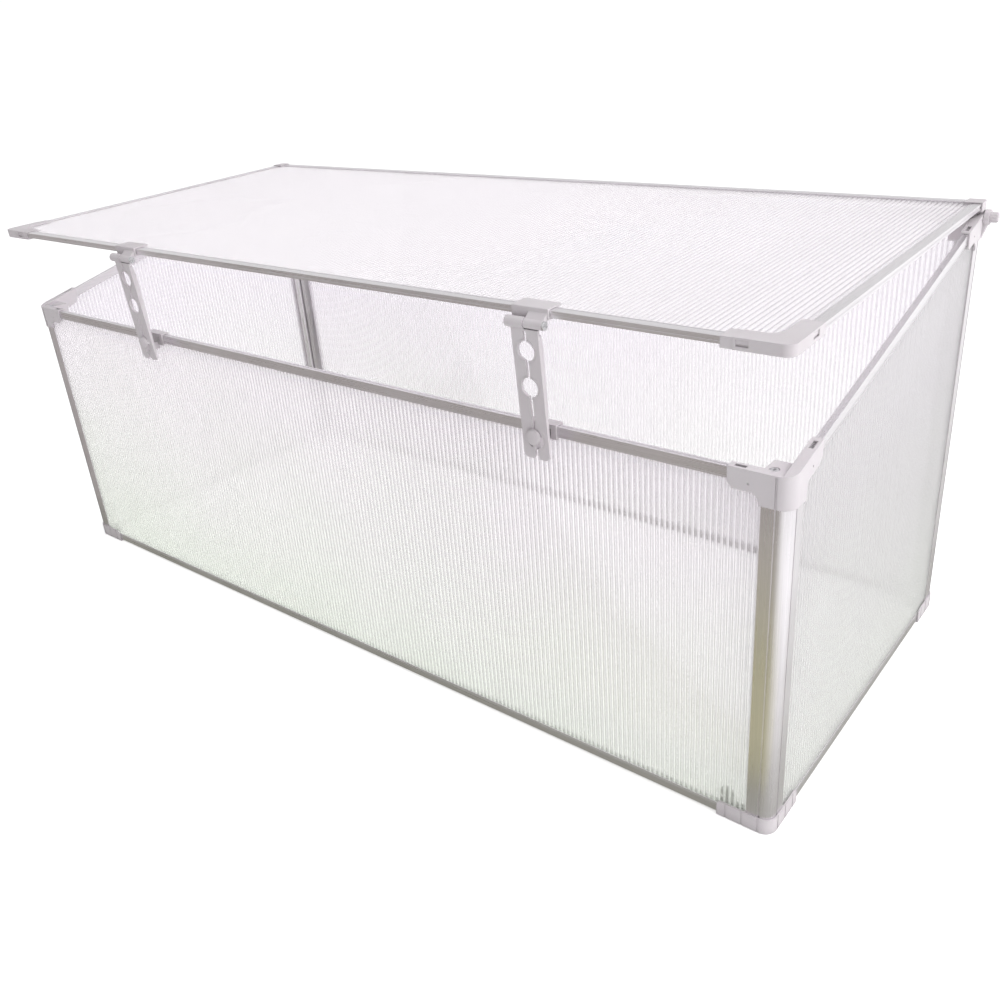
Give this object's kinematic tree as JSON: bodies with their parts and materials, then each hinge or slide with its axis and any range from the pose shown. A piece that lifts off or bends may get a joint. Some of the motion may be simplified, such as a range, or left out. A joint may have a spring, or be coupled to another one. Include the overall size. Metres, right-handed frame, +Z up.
{
  "type": "cold frame",
  "caption": "Low garden cold frame: railed box of twin-wall sheets with a rear-hinged lid that is propped on keyhole stays.",
  "frame": {"origin": "on the ground plane under the feet, in the middle of the plan of the whole part with its lid propped", "axes": "+Z up, +X to the right along the frame's length, -Y to the low front, +Y to the high hinged rear"},
  "size_m": [1.0272, 0.442, 0.4381],
  "materials": {
    "aluminium_profile": "satin",
    "moulded_plastic": "satin",
    "twin_wall_sheet": "satin",
    "steel": "satin"
  },
  "bodies": {
    "base": {"front_top_rail": "aluminium_profile", "rear_top_rail": "aluminium_profile", "left_top_rail": "aluminium_profile", "right_top_rail": "aluminium_profile", "front_bottom_rail": "aluminium_profile", "rear_bottom_rail": "aluminium_profile", "left_bottom_rail": "aluminium_profile", "right_bottom_rail": "aluminium_profile", "front_left_post": "aluminium_profile", "front_right_post": "aluminium_profile", "rear_left_post": "aluminium_profile", "rear_right_post": "aluminium_profile", "front_sheet": "twin_wall_sheet", "rear_sheet": "twin_wall_sheet", "left_sheet": "twin_wall_sheet", "right_sheet": "twin_wall_sheet", "front_left_corner": "moulded_plastic", "front_right_corner": "moulded_plastic", "rear_left_corner": "moulded_plastic", "rear_right_corner": "moulded_plastic", "front_left_foot": "moulded_plastic", "front_right_foot": "moulded_plastic", "rear_left_foot": "moulded_plastic", "rear_right_foot": "moulded_plastic", "corner_screws": "steel", "left_hinge_peg": "moulded_plastic", "right_hinge_peg": "moulded_plastic", "left_rail_clip": "moulded_plastic", "right_rail_clip": "moulded_plastic"},
    "lid": {"lid_front_rail": "aluminium_profile", "lid_rear_rail": "aluminium_profile", "lid_left_rail": "aluminium_profile", "lid_right_rail": "aluminium_profile", "lid_sheet": "twin_wall_sheet", "lid_front_left_corner": "moulded_plastic", "lid_front_right_corner": "moulded_plastic", "lid_rear_left_corner": "moulded_plastic", "lid_rear_right_corner": "moulded_plastic", "left_lid_clip": "moulded_plastic", "right_lid_clip": "moulded_plastic", "left_stay_pin": "steel", "right_stay_pin": "steel"},
    "left_stay": {"left_stay_strip": "moulded_plastic"},
    "right_stay": {"right_stay_strip": "moulded_plastic"}
  },
  "joints": [
    {"name": "lid_hinge", "type": "hinge", "parent": "base", "child": "lid", "pos_m": [0, 0.21402, 0.4228], "axis": [-1, 0, 0], "range_deg": [-12.1, 94]},
    {"name": "left_stay_pivot", "type": "hinge", "parent": "lid", "child": "left_stay", "pos_m": [-0.242, -0.21662, 0.41021], "axis": [-1, 0, 0], "range_deg": [-90.5, 12]},
    {"name": "right_stay_pivot", "type": "hinge", "parent": "lid", "child": "right_stay", "pos_m": [0.2945, -0.21662, 0.41021], "axis": [-1, 0, 0], "range_deg": [-90.5, 12]}
  ],
  "couplings": [
    {"joint": "left_stay_pivot", "follows": "lid_hinge", "ratio": -0.96},
    {"joint": "right_stay_pivot", "follows": "lid_hinge", "ratio": -0.96}
  ]
}
